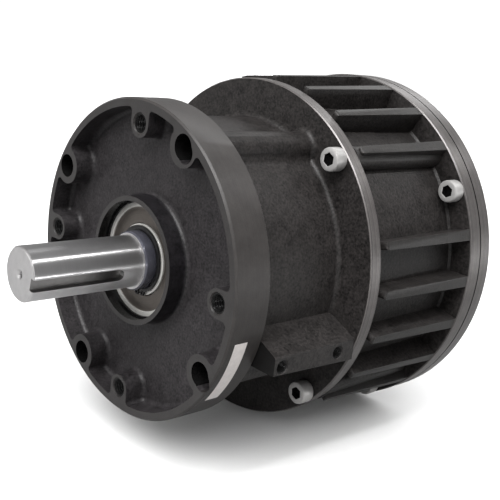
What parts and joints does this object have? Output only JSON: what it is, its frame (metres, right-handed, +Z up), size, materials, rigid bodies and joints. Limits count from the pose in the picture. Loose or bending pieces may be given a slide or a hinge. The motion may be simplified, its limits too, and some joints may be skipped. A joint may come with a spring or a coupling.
{
  "type": "friction clutch",
  "caption": "Enclosed air-engaged friction clutch with a keyed output shaft, cast front flange, air port block, finned housing and a rear motor adapter ring.",
  "frame": {"origin": "on the shaft axis, in the face of the front flange that bolts to the driven machine", "axes": "+Y runs along the shaft axis towards the motor end, -Y is the way the output shaft points, +Z is up"},
  "size_m": [0.2632, 0.3088, 0.2632],
  "materials": {
    "black_casting": "matt black painted casting",
    "black_machined": "satin black",
    "ground_steel": "ground",
    "bearing_steel": "polished",
    "shield_steel": "satin",
    "spring_steel": "oiled dark",
    "plain_steel": "turned",
    "screw_steel": "bright plated",
    "light_alloy": "turned",
    "friction_lining": "moulded friction lining",
    "seal_rubber": "moulded"
  },
  "bodies": {
    "housing": {"output_housing": "black_casting", "finned_housing": "black_casting", "motor_adapter": "black_machined", "housing_screws": "screw_steel", "adapter_screws": "screw_steel", "front_bearing_outer_race": "bearing_steel", "front_bearing_shields": "shield_steel", "rear_bearing_outer_race": "bearing_steel", "rear_bearing_shields": "shield_steel", "bearing_spacer": "plain_steel", "bearing_retaining_ring": "spring_steel", "input_bearing_outer_race": "bearing_steel", "input_bearing_shields": "shield_steel", "input_bearing_ring": "spring_steel"},
    "output": {"output_shaft": "ground_steel", "shaft_retaining_ring": "spring_steel", "front_bearing_inner_race": "bearing_steel", "front_bearing_ball_row": "bearing_steel", "rear_bearing_inner_race": "bearing_steel", "rear_bearing_ball_row": "bearing_steel", "output_drum": "plain_steel", "drum_key": "plain_steel", "hub_end_washer": "plain_steel", "hub_end_screw": "screw_steel", "reaction_plate": "plain_steel", "drum_screws": "screw_steel", "pilot_bearing_outer_race": "bearing_steel", "pilot_bearing_shields": "shield_steel"},
    "input": {"input_hub": "plain_steel", "hub_set_screws": "screw_steel", "input_shaft_ring": "spring_steel", "input_bearing_inner_race": "bearing_steel", "input_bearing_ball_row": "bearing_steel", "pilot_bearing_inner_race": "bearing_steel", "pilot_bearing_ball_row": "bearing_steel"},
    "piston": {"piston": "light_alloy", "piston_outer_seal": "seal_rubber", "piston_inner_seal": "seal_rubber", "thrust_washer_fixed": "bearing_steel", "thrust_rollers": "bearing_steel", "thrust_cage": "shield_steel"},
    "pressure": {"pressure_plate": "plain_steel", "push_ring": "plain_steel", "thrust_washer_turning": "bearing_steel", "release_springs": "spring_steel"},
    "disc": {"friction_disc_core": "plain_steel", "front_facing": "friction_lining", "rear_facing": "friction_lining"}
  },
  "joints": [
    {"name": "output_turn", "type": "hinge", "parent": "housing", "child": "output", "pos_m": [0, 0, 0], "axis": [0, 1, 0], "continuous": true},
    {"name": "input_turn", "type": "hinge", "parent": "housing", "child": "input", "pos_m": [0, 0.15, 0], "axis": [0, 1, 0], "continuous": true},
    {"name": "piston_slide", "type": "slide", "parent": "housing", "child": "piston", "axis": [0, 1, 0], "range_m": [0, 0.0023], "stiffness_N_per_m": 30000},
    {"name": "pressure_slide", "type": "slide", "parent": "output", "child": "pressure", "axis": [0, 1, 0], "range_m": [0, 0.0023]},
    {"name": "disc_slide", "type": "slide", "parent": "input", "child": "disc", "axis": [0, 1, 0], "range_m": [0, 0.00115]}
  ],
  "couplings": [
    {"joint": "pressure_slide", "follows": "piston_slide", "ratio": 1},
    {"joint": "disc_slide", "follows": "piston_slide", "ratio": 0.5}
  ]
}
